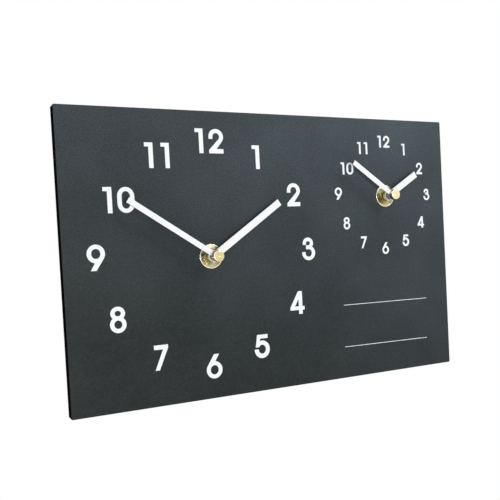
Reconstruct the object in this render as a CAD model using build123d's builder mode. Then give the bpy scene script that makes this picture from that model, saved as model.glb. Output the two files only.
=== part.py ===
from build123d import *
import math
import os
from collections import namedtuple

# World time clock: one flat board with two dials, each driven by its own
# battery quartz movement behind the board. Lengths are in millimetres.
# X runs to the right as seen from the front, Y to the back and Z up. The
# origin lies on the board's back face, midway between the two keyholes.

# Board
board_width = 314.0
board_height = 200.0
board_thickness = 9.0
board_corner_radius = 0.8
board_edge_radius = 0.4
shaft_hole_clearance = 0.25

# Hangers on the board's back
hanger_spacing = 200.0
hanger_drop = 16.0
keyhole_radius = 4.5
keyhole_slot_radius = 2.2
keyhole_rise = 6.0
keyhole_pocket_margin = 1.0
keyhole_pocket_depth = 5.0
hanger_plate_margin = 6.0
hanger_plate_rise = 11.0
hanger_plate_fall = 9.0
hanger_plate_corner = 4.0
hanger_plate_thickness = 1.5
hanger_screw_spacing = 32.0
hanger_screw_radius = 1.5
hanger_screw_head_radius = 2.8
hanger_screw_length = 8.0
hanger_screw_tip = 1.5
hanger_screw_fit = 0.04
countersink_angle = 90.0

# Dials: how far each shaft comes through from the board's left edge and
# below its top, the hands' lengths, and their rest angles in degrees,
# clockwise from twelve
main_left = 101.7
main_drop = 100.8
main_minute_length = 71.8
main_hour_length = 64.5
main_minute_angle = 303.1
main_hour_angle = 55.7
second_left = 253.7
second_drop = 60.5
second_minute_length = 43.2
second_hour_length = 31.8
second_minute_angle = 305.0
second_hour_angle = 58.7

# Hands
minute_blade_width = 3.8
hour_blade_width = 5.0
blade_thickness = 0.5
minute_boss_radius = 3.8
hour_boss_radius = 4.1
minute_collet_radius = 3.2
hour_collet_radius = 3.4
minute_collet_length = 2.6
hour_collet_length = 0.8
hand_shoulder_fit = 0.02

# Cap nut on the minute arbor
cap_radius = 3.85
cap_length = 3.9
cap_edge_radius = 0.5
cap_thread_depth = 2.9
cap_dimple_radius = 0.7
cap_dimple_depth = 0.35
cap_dimple_taper = 40.0

# What stands in front of the board, as heights above its face
bush_height = 4.8
hour_blade_height = 5.8
hour_pipe_proud = 0.3
minute_blade_height = 10.4

# Washers, nut and threaded bush
brass_washer_radius = 8.5
brass_washer_thickness = 0.75
washer_rim_width = 0.7
washer_rim_height = 0.3
nut_across_flats = 11.6
nut_thickness = 3.0
nut_corner_chamfer = 0.6
thread_fit = 0.02
bush_radius = 4.0
bush_end_chamfer = 0.45
bush_flange_radius = 6.0
bush_flange_thickness = 0.8
rubber_washer_radius = 10.0
rubber_washer_thickness = 1.0

# Movement housing
case_corner_radius = 3.5
case_wall = 1.5
case_back_wall = 1.4
case_back_chamfer = 0.8
cover_thickness = 1.5
cover_lip_height = 1.5
cover_lip_width = 0.9
cover_lip_fit = 0.1
cover_lip_corner_radius = 2.5
bay_clearance = 0.7
bay_wall = 1.2
bay_rib_length = 16.0
bay_rib_reach = 0.9
bay_rib_height = 1.6
bay_rib_drop = 2.4
thumb_notch_radius = 8.0
train_gap = 1.08

# Battery and its contacts
battery_radius = 7.1
battery_length = 50.2
battery_edge_radius = 0.6
battery_nub_radius = 2.7
battery_nub_length = 1.2
battery_lift = 0.15
contact_thickness = 0.4
contact_height = 9.0
contact_edge_gap = 1.2
contact_tab_width = 2.6
leaf_reach = 2.0
leaf_thickness = 0.3
strip_width = 1.8

# Fits and gaps inside the movement
end_play = 0.1
wheel_gap = 0.45
running_fit = 0.07
pivot_fit = 0.05

# Arbors, pivots and their bosses
arbor_radius = 0.5
pivot_radius = 0.35
pivot_length = 0.8
boss_wall = 0.95
minute_arbor_radius = 1.65
minute_thread_radius = 1.5
minute_stub_radius = 1.1
hour_pipe_radius = 2.55
hour_hub_radius = 3.6
hour_hub_height = 0.4
spindle_length = 7.0
centre_hub_radius = 2.2
hub_proud = 0.2

# Wheel thicknesses, front to back
motion_wheel_thickness = 1.0
minute_wheel_thickness = 0.8
train_wheel_thickness = 0.7
pinion_overlap = 0.15
plate_thickness = 1.0

# Wheels: teeth and modules. Cannon pinion, minute wheel and stem pinion share
# a module, and so do the minute pinion and the hour wheel.
motion_module = 0.5
cannon_teeth = 10
minute_teeth = 30
minute_pinion_teeth = 8
hour_teeth = 32
stem_teeth = 10
train_pinion_teeth = 6
centre_teeth = 48
third_teeth = 45
fourth_teeth = 30
fifth_teeth = 36
third_distance = 9.3075
fourth_module = 0.53
rotor_module = 0.35

# Where the arbors lie round the shaft, as directions in degrees seen from the
# front, anticlockwise from the right
minute_wheel_direction = 150.0
stem_direction = 75.0
third_direction = 180.0
fifth_direction = 60.0
rotor_direction = 10.0

# Straight-sided teeth: heights as shares of the module, widths as shares of
# the pitch
ToothForm = namedtuple("ToothForm", "addendum_share dedendum_share tip_share root_share")
wheel_form = ToothForm(1.0, 1.2, 0.22, 0.66)
pinion_form = ToothForm(0.8, 1.3, 0.26, 0.58)

# Motor
magnet_radius = 2.75
magnet_length = 2.0
stator_thickness = 0.9
stator_hole_radius = 3.2
stator_reach = 4.3
stator_left_reach = 5.3
stator_right_reach = 10.9
stator_leg_width = 3.2
stator_leg_rise = 12.6
stator_notch_radius = 0.7
core_thickness = 0.8
core_width = 3.2
core_rise = 11.0
coil_radius = 3.2
coil_flange_radius = 3.6
coil_flange_thickness = 0.6
coil_gap = 0.5
core_fit = 0.05
post_radius = 1.2
post_pin_radius = 0.6
post_pin_proud = 0.3

# Circuit board
circuit_width = 11.3
circuit_height = 13.0
circuit_side_gap = 0.6
circuit_floor_gap = 1.3
circuit_thickness = 0.8
circuit_front_gap = 2.7
circuit_post_inset = 1.5
chip_radius = 2.3
chip_drop = 3.6
chip_height = 0.9
chip_taper = 40.0
crystal_radius = 1.0
crystal_gap = 0.05
crystal_length = 6.0
crystal_side = 0.32
crystal_rise = 0.8

# Middle plate
plate_side_gap = 1.3
plate_floor_gap = 1.0
plate_corner_radius = 2.0
plate_window_width = 7.0
plate_window_height = 6.0
plate_window_corner = 1.5
plate_post_inset = 2.2
plate_pin_proud = 0.25

# Setting knob
knob_radius = 5.7
knob_height = 2.6
knob_recess = 0.3
knob_notch_radius = 0.55
knob_notches = 16
knob_grip_width = 1.4
knob_grip_depth = 0.9
knob_dish_radius = 4.3
stem_radius = 1.0
well_gap = 0.8
well_wall = 1.2
well_floor = 1.2

Dial = namedtuple("Dial", "name left drop minute_length hour_length minute_angle hour_angle")
dials = (
    Dial(
        "main",
        main_left,
        main_drop,
        main_minute_length,
        main_hour_length,
        main_minute_angle,
        main_hour_angle,
    ),
    Dial(
        "second",
        second_left,
        second_drop,
        second_minute_length,
        second_hour_length,
        second_minute_angle,
        second_hour_angle,
    ),
)

# Depths that follow from the sizes above
board_front = -board_thickness
board_left = -board_width / 2
board_top = hanger_drop
board_bottom = board_top - board_height

cover_front = rubber_washer_thickness
cover_back = cover_front + cover_thickness

hour_wheel_front = cover_back + end_play + hour_hub_height
hour_wheel_back = hour_wheel_front + motion_wheel_thickness
minute_wheel_front = hour_wheel_back + wheel_gap
minute_wheel_back = minute_wheel_front + minute_wheel_thickness
plate_front = minute_wheel_back + wheel_gap
plate_back = plate_front + plate_thickness
centre_wheel_front = plate_back + wheel_gap
centre_wheel_back = centre_wheel_front + train_wheel_thickness
third_wheel_front = centre_wheel_back + wheel_gap
third_wheel_back = third_wheel_front + train_wheel_thickness
fourth_wheel_front = third_wheel_back + wheel_gap
fourth_wheel_back = fourth_wheel_front + train_wheel_thickness
fifth_wheel_front = fourth_wheel_back + wheel_gap
fifth_wheel_back = fifth_wheel_front + train_wheel_thickness
magnet_front = fifth_wheel_back + wheel_gap
magnet_back = magnet_front + magnet_length
stator_front = (magnet_front + magnet_back - stator_thickness) / 2
stator_back = stator_front + stator_thickness
core_front = stator_front - core_thickness
coil_depth = core_front + core_thickness / 2
circuit_front = plate_back + circuit_front_gap
circuit_back = circuit_front + circuit_thickness

# The case is deep enough for the battery and for the coil
depth_for_battery = cover_back + 2 * (battery_lift + battery_radius)
depth_for_coil = coil_depth + coil_flange_radius + end_play + case_back_wall
case_back = max(depth_for_battery, depth_for_coil)
case_floor = case_back - case_back_wall

hour_blade_back = board_front - hour_blade_height
hour_blade_front = hour_blade_back - blade_thickness
minute_blade_back = board_front - minute_blade_height
minute_blade_front = minute_blade_back - blade_thickness

# Room inside the square case: the train above, the battery bay below. The
# case is wide enough for the battery with its contacts, and high enough for
# the largest wheel above the bay.
centre_module = 2 * third_distance / (centre_teeth + train_pinion_teeth)
third_module = 2 * third_distance / (third_teeth + train_pinion_teeth)
centre_tip_radius = centre_module * (centre_teeth / 2 + wheel_form.addendum_share)
bay_height = 2 * (battery_radius + bay_clearance)
half_for_battery = (battery_length + 2 * contact_thickness + leaf_reach) / 2
half_for_train = bay_height + bay_wall + train_gap + centre_tip_radius
inner_half_width = max(half_for_battery, half_for_train)
half_case = inner_half_width + case_wall
case_width = 2 * half_case
inner_corner_radius = case_corner_radius - case_wall
bay_bottom = -inner_half_width
bay_top = bay_bottom + bay_height
bay_middle = (bay_bottom + bay_top) / 2
train_bottom = bay_top + bay_wall
train_top = inner_half_width
train_middle = (train_bottom + train_top) / 2

# Edges of the circuit board and of the middle plate
circuit_right = inner_half_width - circuit_side_gap
circuit_left = circuit_right - circuit_width
circuit_bottom = train_bottom + circuit_floor_gap
circuit_top = circuit_bottom + circuit_height
circuit_middle = ((circuit_left + circuit_right) / 2, (circuit_bottom + circuit_top) / 2)
plate_half_width = inner_half_width - plate_side_gap
plate_top = train_top - plate_side_gap
plate_bottom = train_bottom + plate_floor_gap

# Plan of the arbors, as places (x, z) seen from the front
minute_distance = motion_module * (cannon_teeth + minute_teeth) / 2
stem_distance = motion_module * (stem_teeth + minute_teeth) / 2
fifth_distance = fourth_module * (fourth_teeth + train_pinion_teeth) / 2
rotor_distance = rotor_module * (fifth_teeth + train_pinion_teeth) / 2


def stepped(start, distance, direction):
    """The place a distance away from another, in a direction in degrees."""
    angle = math.radians(direction)
    return (start[0] + distance * math.cos(angle), start[1] + distance * math.sin(angle))


shaft = (0.0, 0.0)
minute_place = stepped(shaft, minute_distance, minute_wheel_direction)
stem_place = stepped(minute_place, stem_distance, stem_direction)
third_place = stepped(shaft, third_distance, third_direction)
fifth_place = stepped(shaft, fifth_distance, fifth_direction)
rotor_place = stepped(fifth_place, rotor_distance, rotor_direction)


def facing(depth, place=shaft):
    """A sketch plane at a depth behind the board's back face, seen from the front."""
    return Plane(origin=(place[0], depth, place[1]), x_dir=(1, 0, 0), z_dir=(0, -1, 0))


def mated_phase(phase, teeth, mate_teeth, direction):
    """Where a mate's tooth points so that the two wheels mesh, in degrees."""
    offset_share = (phase - direction) * teeth / 360
    return direction + 180 + (360 / mate_teeth) * (1 / 2 - offset_share)


def tooth_points(teeth, module, phase, form):
    """The corners of a straight-sided toothed wheel, four for each tooth."""
    pitch_radius = module * teeth / 2
    tip = pitch_radius + form.addendum_share * module
    root = pitch_radius - form.dedendum_share * module
    half_step = 180 / teeth
    corners = (
        (root, -form.root_share),
        (tip, -form.tip_share),
        (tip, form.tip_share),
        (root, form.root_share),
    )
    points = []
    for tooth in range(teeth):
        middle = phase + 2 * tooth * half_step
        for radius, share in corners:
            points.append(stepped(shaft, radius, middle + share * half_step))
    return points


def add_gear(front, back, place, teeth, module, phase, form):
    """Adds a toothed disc to the part being built."""
    with BuildSketch(facing(back, place)) as section:
        with BuildLine():
            Polyline(*tooth_points(teeth, module, phase, form), close=True)
        make_face()
    extrude(section.sketch, amount=back - front)


def add_disc(front, back, place, radius, mode=Mode.ADD):
    """Adds a round step to the part being built, or cuts one from it."""
    with BuildSketch(facing(back, place)) as section:
        Circle(radius)
    extrude(section.sketch, amount=back - front, mode=mode)


def add_pivots(front, back, place):
    """Adds an arbor with a thinner pivot at each end."""
    add_disc(front, back, place, arbor_radius)
    add_disc(front - pivot_length, back + pivot_length, place, pivot_radius)


def write(piece, name):
    """Labels a finished piece and writes its file."""
    piece.part.label = name
    export_step(piece.part, f"parts/{name}.step")


def shaft_of(dial):
    """The place (x, z) on the board where a dial's shaft comes through."""
    return (board_left + dial.left, board_top - dial.drop)


def write_on_dial(piece, dial, name):
    """Moves a piece made round the origin to a dial's shaft and writes it there."""
    across, level = shaft_of(dial)
    with BuildPart() as placed:
        with Locations((across, 0, level)):
            add(piece.part)
    write(placed, f"{dial.name}_{name}")


def write_for_each_dial(piece, name):
    """Puts a piece of the movement at each dial and writes it there."""
    for dial in dials:
        write_on_dial(piece, dial, name)


os.makedirs("parts", exist_ok=True)

# Where one tooth of each wheel points, so that all mesh. Each driving wheel
# points a tooth straight at its mate.
cannon_phase = minute_wheel_direction
minute_phase = mated_phase(cannon_phase, cannon_teeth, minute_teeth, minute_wheel_direction)
minute_pinion_phase = minute_wheel_direction + 180
hour_phase = mated_phase(
    minute_pinion_phase, minute_pinion_teeth, hour_teeth, minute_pinion_phase
)
stem_phase = mated_phase(minute_phase, minute_teeth, stem_teeth, stem_direction)
centre_phase = third_direction
third_pinion_phase = mated_phase(centre_phase, centre_teeth, train_pinion_teeth, third_direction)
third_phase = third_direction + 180
fourth_pinion_phase = mated_phase(third_phase, third_teeth, train_pinion_teeth, third_phase)
fourth_phase = fifth_direction
fifth_pinion_phase = mated_phase(fourth_phase, fourth_teeth, train_pinion_teeth, fifth_direction)
fifth_phase = rotor_direction
rotor_pinion_phase = mated_phase(fifth_phase, fifth_teeth, train_pinion_teeth, rotor_direction)

# Face board: a flat slab with softened edges, a hole for each shaft and a
# pocket behind each keyhole
with BuildPart() as face_board:
    with BuildSketch(Plane.XZ):
        with Locations((0, (board_top + board_bottom) / 2)):
            RectangleRounded(board_width, board_height, board_corner_radius)
    extrude(amount=board_thickness)
    front_rim = face_board.faces().sort_by(Axis.Y)[0].outer_wire().edges()
    back_rim = face_board.faces().sort_by(Axis.Y)[-1].outer_wire().edges()
    fillet(front_rim + back_rim, radius=board_edge_radius)
    with BuildSketch(Plane.XZ):
        with Locations(*(shaft_of(dial) for dial in dials)):
            Circle(bush_radius + shaft_hole_clearance)
    extrude(amount=board_thickness, mode=Mode.SUBTRACT)
    with BuildSketch(Plane.XZ):
        with GridLocations(hanger_spacing, 0, 2, 1):
            with Locations((0, keyhole_rise / 2)):
                SlotCenterToCenter(
                    keyhole_rise, 2 * (keyhole_radius + keyhole_pocket_margin), rotation=90
                )
    extrude(amount=keyhole_pocket_depth, mode=Mode.SUBTRACT)
    with BuildSketch(Plane.XZ):
        with GridLocations(hanger_spacing, 0, 2, 1):
            with GridLocations(hanger_screw_spacing, 0, 2, 1):
                Circle(hanger_screw_radius + hanger_screw_fit)
    extrude(amount=hanger_screw_length - hanger_plate_thickness, mode=Mode.SUBTRACT)
write(face_board, "face_board")

# Keyhole plates: the screw head goes in at the round hole, and the clock then
# drops until the screw's neck meets the top of the slot
with BuildPart() as hanger_plates:
    with BuildSketch(facing(hanger_plate_thickness)):
        with GridLocations(hanger_spacing, 0, 2, 1):
            with Locations((0, (hanger_plate_rise - hanger_plate_fall) / 2)):
                RectangleRounded(
                    hanger_screw_spacing + 2 * hanger_plate_margin,
                    hanger_plate_rise + hanger_plate_fall,
                    hanger_plate_corner,
                )
    extrude(amount=hanger_plate_thickness)
    with BuildSketch(facing(hanger_plate_thickness)):
        with GridLocations(hanger_spacing, 0, 2, 1):
            Circle(keyhole_radius)
            with Locations((0, keyhole_rise / 2)):
                SlotCenterToCenter(keyhole_rise, 2 * keyhole_slot_radius, rotation=90)
    extrude(amount=hanger_plate_thickness, mode=Mode.SUBTRACT)
    with Locations(Plane.XZ.rotated((180, 0, 0)).offset(hanger_plate_thickness)):
        with GridLocations(hanger_spacing, 0, 2, 1):
            with GridLocations(hanger_screw_spacing, 0, 2, 1):
                CounterSinkHole(
                    hanger_screw_radius + hanger_screw_fit,
                    hanger_screw_head_radius + hanger_screw_fit,
                    counter_sink_angle=countersink_angle,
                )
write(hanger_plates, "hanger_plates")

# Wood screws that hold the plates
screw_head_depth = hanger_screw_head_radius - hanger_screw_radius
screw_profile = (
    (0, 0),
    (hanger_screw_head_radius, 0),
    (hanger_screw_radius, screw_head_depth),
    (hanger_screw_radius, hanger_screw_length - hanger_screw_tip),
    (0, hanger_screw_length),
)
with BuildPart() as hanger_screws:
    for side in (-1, 1):
        for place in (-1, 1):
            across = side * hanger_spacing / 2 + place * hanger_screw_spacing / 2
            origin = (across, hanger_plate_thickness, 0)
            with BuildSketch(Plane(origin=origin, x_dir=(1, 0, 0), z_dir=(0, 0, 1))) as half:
                with BuildLine():
                    Polyline(*((radius, -depth) for radius, depth in screw_profile), close=True)
                make_face()
            revolve(axis=Axis(origin, (0, 1, 0)))
write(hanger_screws, "hanger_screws")

# Front cover: closes the case and carries the bush
with BuildPart() as front_cover:
    with BuildSketch(facing(cover_back)):
        RectangleRounded(case_width, case_width, case_corner_radius)
    extrude(amount=cover_thickness)
    with BuildSketch(facing(cover_back + cover_lip_height)):
        with Locations((0, train_middle)):
            RectangleRounded(
                2 * (inner_half_width - cover_lip_fit),
                train_top - train_bottom - 2 * cover_lip_fit,
                cover_lip_corner_radius,
            )
            RectangleRounded(
                2 * (inner_half_width - cover_lip_fit - cover_lip_width),
                train_top - train_bottom - 2 * (cover_lip_fit + cover_lip_width),
                cover_lip_corner_radius - cover_lip_width,
                mode=Mode.SUBTRACT,
            )
    extrude(amount=cover_lip_height)
    for side in (-1, 1):
        for level in (plate_top - plate_post_inset, plate_bottom + plate_post_inset):
            corner = (side * (plate_half_width - plate_post_inset), level)
            add_disc(cover_back, plate_front, corner, post_radius)
            add_disc(plate_front, plate_back + plate_pin_proud, corner, post_pin_radius)
    add_disc(cover_front, cover_back, shaft, bush_radius, Mode.SUBTRACT)
    add_disc(cover_back - bush_flange_thickness, cover_back, shaft, bush_flange_radius, Mode.SUBTRACT)
    pivot_hole = cover_back - pivot_length - end_play
    for place in (minute_place, stem_place):
        add_disc(pivot_hole, cover_back, place, pivot_radius + pivot_fit, Mode.SUBTRACT)
write_for_each_dial(front_cover, "front_cover")

# Rear case: train room closed at the back, battery bay open at the back
well_radius = knob_radius + well_gap
well_front = case_back - knob_recess - knob_height - end_play - well_floor
core_level = rotor_place[1] + core_rise
left_leg = rotor_place[0] - stator_left_reach + stator_leg_width / 2
right_leg = rotor_place[0] + stator_right_reach - stator_leg_width / 2
stator_pins = ((left_leg, core_level), (right_leg, core_level))
circuit_pins = (
    (circuit_left + circuit_post_inset, circuit_bottom + circuit_post_inset),
    (circuit_right - circuit_post_inset, circuit_bottom + circuit_post_inset),
    (circuit_right - circuit_post_inset, circuit_top - circuit_post_inset),
)
train_bosses = (
    (third_place, third_wheel_back),
    (fifth_place, fifth_wheel_back),
    (shaft, fourth_wheel_back),
    (rotor_place, magnet_back),
)
boss_radius = pivot_radius + pivot_fit + boss_wall
boss_front = stator_back + end_play
rotor_boss_front = magnet_back + end_play
with BuildPart() as rear_case:
    with BuildSketch(facing(case_back)):
        RectangleRounded(case_width, case_width, case_corner_radius)
    extrude(amount=case_back - cover_back)
    chamfer(rear_case.faces().sort_by(Axis.Y)[-1].edges(), length=case_back_chamfer)
    with BuildSketch(facing(case_floor)):
        RectangleRounded(2 * inner_half_width, 2 * inner_half_width, inner_corner_radius)
        with Locations((0, train_bottom)):
            Rectangle(
                case_width, case_width, align=(Align.CENTER, Align.MAX), mode=Mode.SUBTRACT
            )
    extrude(amount=case_floor - cover_back, mode=Mode.SUBTRACT)
    with BuildSketch(facing(case_back)):
        RectangleRounded(2 * inner_half_width, 2 * inner_half_width, inner_corner_radius)
        with Locations((0, bay_top)):
            Rectangle(
                case_width, case_width, align=(Align.CENTER, Align.MIN), mode=Mode.SUBTRACT
            )
    extrude(amount=case_back - cover_back, mode=Mode.SUBTRACT)
    # two ribs a side snap over the battery
    with BuildSketch(facing(case_back - bay_rib_drop)):
        for side in (-1, 1):
            for edge in (-1, 1):
                spot = (
                    side * inner_half_width / 2,
                    bay_middle + edge * (bay_height - bay_rib_reach) / 2,
                )
                with Locations(spot):
                    Rectangle(bay_rib_length, bay_rib_reach)
    extrude(amount=bay_rib_height)
    # a thumb's hollow in the lower wall, to push the battery out
    with BuildSketch(Plane.XY.offset(-half_case)):
        with Locations((0, case_back)):
            Circle(thumb_notch_radius)
    extrude(amount=case_wall, mode=Mode.SUBTRACT)
    # slots through the bay's wall for the two contacts
    with BuildSketch(Plane.XY.offset(bay_top)):
        for side in (-1, 1):
            with Locations((side * (inner_half_width - contact_thickness / 2), circuit_front)):
                Rectangle(contact_thickness + 2 * core_fit, 2 * contact_tab_width)
    extrude(amount=bay_wall, mode=Mode.SUBTRACT)
    # the well that the setting knob sits in
    add_disc(well_front, case_floor, stem_place, well_radius + well_wall)
    add_disc(well_front + well_floor, case_back, stem_place, well_radius, Mode.SUBTRACT)
    add_disc(well_front, case_back, stem_place, stem_radius + running_fit, Mode.SUBTRACT)
    # bosses for the rear pivots
    for place, wheel_back in train_bosses:
        front = rotor_boss_front if place == rotor_place else boss_front
        add_disc(front, case_floor, place, boss_radius)
        add_disc(front, case_floor, place, pivot_radius + pivot_fit, Mode.SUBTRACT)
    # posts for the stator and the circuit board
    for place in stator_pins:
        add_disc(stator_back, case_floor, place, post_radius)
        add_disc(core_front - post_pin_proud, stator_back, place, post_pin_radius)
    for place in circuit_pins:
        add_disc(circuit_back, case_floor, place, post_radius)
        add_disc(circuit_front - post_pin_proud, circuit_back, place, post_pin_radius)
write_for_each_dial(rear_case, "rear_case")

# Middle plate: carries the front pivots of the train
with BuildPart() as middle_plate:
    with BuildSketch(facing(plate_back)):
        with Locations((0, (plate_top + plate_bottom) / 2)):
            RectangleRounded(
                2 * plate_half_width, plate_top - plate_bottom, plate_corner_radius
            )
        with Locations(circuit_middle):
            RectangleRounded(
                plate_window_width, plate_window_height, plate_window_corner, mode=Mode.SUBTRACT
            )
    extrude(amount=plate_thickness)
    add_disc(plate_front, plate_back, shaft, minute_arbor_radius + running_fit, Mode.SUBTRACT)
    add_disc(plate_front, plate_back, stem_place, stem_radius + running_fit, Mode.SUBTRACT)
    for place in (minute_place, third_place, fifth_place, rotor_place):
        add_disc(plate_front, plate_back, place, pivot_radius + pivot_fit, Mode.SUBTRACT)
    for side in (-1, 1):
        for level in (plate_top - plate_post_inset, plate_bottom + plate_post_inset):
            corner = (side * (plate_half_width - plate_post_inset), level)
            add_disc(plate_front, plate_back, corner, post_pin_radius + pivot_fit, Mode.SUBTRACT)
write_for_each_dial(middle_plate, "middle_plate")

# Threaded bush, moulded into the cover; the nut in front clamps the board
with BuildPart() as bush:
    add_disc(board_front - bush_height, cover_back, shaft, bush_radius)
    chamfer(bush.faces().sort_by(Axis.Y)[0].edges(), length=bush_end_chamfer)
    add_disc(cover_back - bush_flange_thickness, cover_back, shaft, bush_flange_radius)
    bush_bore = hour_pipe_radius + running_fit
    add_disc(board_front - bush_height, cover_back, shaft, bush_bore, Mode.SUBTRACT)
write_for_each_dial(bush, "bush")

with BuildPart() as rubber_washer:
    add_disc(0, rubber_washer_thickness, shaft, rubber_washer_radius)
    add_disc(0, rubber_washer_thickness, shaft, bush_radius + thread_fit, Mode.SUBTRACT)
write_for_each_dial(rubber_washer, "rubber_washer")

# Brass washer with a raised, rounded rim
washer_front = board_front - brass_washer_thickness
with BuildPart() as brass_washer:
    add_disc(washer_front - washer_rim_height, board_front, shaft, brass_washer_radius)
    add_disc(
        washer_front - washer_rim_height,
        washer_front,
        shaft,
        brass_washer_radius - washer_rim_width,
        Mode.SUBTRACT,
    )
    fillet(
        brass_washer.faces().sort_by(Axis.Y)[0].outer_wire().edges(),
        radius=washer_rim_height,
    )
    add_disc(washer_front, board_front, shaft, bush_radius + thread_fit, Mode.SUBTRACT)
write_for_each_dial(brass_washer, "brass_washer")

# Hexagon nut with its front corners turned off
nut_front = washer_front - nut_thickness
nut_corner_radius = nut_across_flats / 2 / math.cos(math.pi / 6)
with BuildPart() as fixing_nut:
    with BuildSketch(facing(washer_front)):
        RegularPolygon(nut_corner_radius, 6)
    extrude(amount=nut_thickness)
    with BuildSketch(facing(washer_front)):
        Circle(nut_corner_radius)
    turned_blank = extrude(amount=nut_thickness, mode=Mode.PRIVATE)
    turned_blank = turned_blank.chamfer(
        nut_corner_chamfer, nut_corner_chamfer, turned_blank.faces().sort_by(Axis.Y)[0].edges()
    )
    add(turned_blank, mode=Mode.INTERSECT)
    add_disc(nut_front, washer_front, shaft, bush_radius + thread_fit, Mode.SUBTRACT)
write_for_each_dial(fixing_nut, "fixing_nut")

# Battery, lying across the bay with its nub to the right
battery_right = inner_half_width - contact_thickness
battery_left = battery_right - battery_length
battery_depth = cover_back + battery_lift + battery_radius
with BuildPart() as battery:
    with BuildSketch(Plane.YZ.offset(battery_left)):
        with Locations((battery_depth, bay_middle)):
            Circle(battery_radius)
    extrude(amount=battery_length - battery_nub_length)
    fillet(battery.faces().filter_by(Axis.X).edges(), radius=battery_edge_radius)
    with BuildSketch(Plane.YZ.offset(battery_right - battery_nub_length)):
        with Locations((battery_depth, bay_middle)):
            Circle(battery_nub_radius)
    extrude(amount=battery_nub_length)
write_for_each_dial(battery, "battery")

# Positive contact: a flat plate at the bay's right end, with a neck through
# the wall and a tab on the circuit board's front
neck_front = circuit_front - contact_tab_width / 2
neck_back = circuit_front + contact_tab_width / 2
with BuildPart() as contact_positive:
    with BuildSketch(Plane.YZ.offset(battery_right)):
        with Locations((battery_depth, bay_middle)):
            Rectangle(2 * battery_radius - 2 * contact_edge_gap, contact_height)
        with Locations((circuit_front, (bay_middle + train_bottom) / 2)):
            Rectangle(contact_tab_width, train_bottom - bay_middle)
        with Locations((circuit_front, (train_bottom + circuit_bottom) / 2 + contact_tab_width)):
            Rectangle(contact_tab_width, circuit_bottom - train_bottom + 2 * contact_tab_width)
    extrude(amount=contact_thickness)
    with BuildSketch(facing(circuit_front)):
        with Locations((battery_right - contact_tab_width / 2, circuit_bottom + 2 * contact_tab_width)):
            Rectangle(contact_tab_width, contact_tab_width)
    extrude(amount=contact_thickness)
write_for_each_dial(contact_positive, "contact_positive")

# Negative contact: a bowed leaf at the left end, with a strip along the bay's
# wall to the back of the circuit board
leaf_wall = -inner_half_width + contact_thickness
leaf_front = battery_depth - battery_radius + contact_edge_gap
leaf_back = battery_depth + battery_radius - contact_edge_gap
strip_front = circuit_back
strip_end = circuit_left + 3 * contact_tab_width
with BuildPart() as contact_negative:
    with BuildSketch(Plane.XY.offset(bay_middle - contact_height / 2)):
        with Locations((leaf_wall - contact_thickness / 2, battery_depth)):
            Rectangle(contact_thickness, leaf_back - leaf_front)
        with BuildLine():
            ThreePointArc((leaf_wall, leaf_front), (battery_left, battery_depth), (leaf_wall, leaf_back))
            Line((leaf_wall, leaf_back), (leaf_wall, leaf_back - leaf_thickness))
            ThreePointArc(
                (leaf_wall, leaf_back - leaf_thickness),
                (battery_left - leaf_thickness, battery_depth),
                (leaf_wall, leaf_front + leaf_thickness),
            )
            Line((leaf_wall, leaf_front + leaf_thickness), (leaf_wall, leaf_front))
        make_face()
    extrude(amount=contact_height)
    with BuildSketch(Plane.YZ.offset(-inner_half_width)):
        with Locations((strip_front + strip_width / 2, (bay_middle + train_bottom) / 2)):
            Rectangle(strip_width, train_bottom - bay_middle + 2 * contact_thickness)
    extrude(amount=contact_thickness)
    with BuildSketch(Plane.XY.offset(train_bottom)):
        with Locations((-inner_half_width, strip_front)):
            Rectangle(strip_end + inner_half_width, strip_width, align=(Align.MIN, Align.MIN))
    extrude(amount=contact_thickness)
    with BuildSketch(facing(strip_front + contact_thickness)):
        with Locations((strip_end, train_bottom)):
            Rectangle(
                contact_tab_width,
                circuit_bottom + contact_tab_width - train_bottom,
                align=(Align.MAX, Align.MIN),
            )
    extrude(amount=contact_thickness)
write_for_each_dial(contact_negative, "contact_negative")

# Circuit board, with its chip under a drop of resin and the crystal's can
crystal_x = circuit_left + crystal_side * circuit_width
with BuildPart() as circuit_board:
    with BuildSketch(facing(circuit_back)):
        with Locations(circuit_middle):
            Rectangle(circuit_width, circuit_height)
        with Locations(*circuit_pins):
            Circle(post_pin_radius + pivot_fit, mode=Mode.SUBTRACT)
    extrude(amount=circuit_thickness)
    with BuildSketch(facing(circuit_front, (circuit_middle[0], circuit_top - chip_drop))):
        Circle(chip_radius)
    extrude(amount=chip_height, taper=chip_taper)
    with BuildSketch(Plane.XY.offset(circuit_bottom + crystal_rise)):
        with Locations((crystal_x, circuit_front - crystal_radius - crystal_gap)):
            Circle(crystal_radius)
    extrude(amount=crystal_length)
write_for_each_dial(circuit_board, "circuit_board")

# Stator: a thin iron plate round the rotor, with two legs up to the coil's core
stator_left = rotor_place[0] - stator_left_reach
stator_right = rotor_place[0] + stator_right_reach
stator_bottom = rotor_place[1] - stator_reach
stator_top = rotor_place[1] + stator_leg_rise
bar_top = rotor_place[1] + stator_reach
with BuildPart() as stator:
    with BuildSketch(facing(stator_back)):
        with Locations((stator_left, stator_bottom)):
            Rectangle(
                stator_right - stator_left,
                stator_top - stator_bottom,
                align=(Align.MIN, Align.MIN),
            )
        with Locations((stator_left + stator_leg_width, bar_top)):
            Rectangle(
                stator_right - stator_left - 2 * stator_leg_width,
                stator_top - bar_top,
                align=(Align.MIN, Align.MIN),
                mode=Mode.SUBTRACT,
            )
        with Locations(rotor_place):
            Circle(stator_hole_radius, mode=Mode.SUBTRACT)
        with Locations((rotor_place[0], stator_bottom), (rotor_place[0], bar_top)):
            Circle(stator_notch_radius, mode=Mode.SUBTRACT)
        with Locations(*stator_pins):
            Circle(post_pin_radius + pivot_fit, mode=Mode.SUBTRACT)
    extrude(amount=stator_thickness)
write_for_each_dial(stator, "stator")

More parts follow.
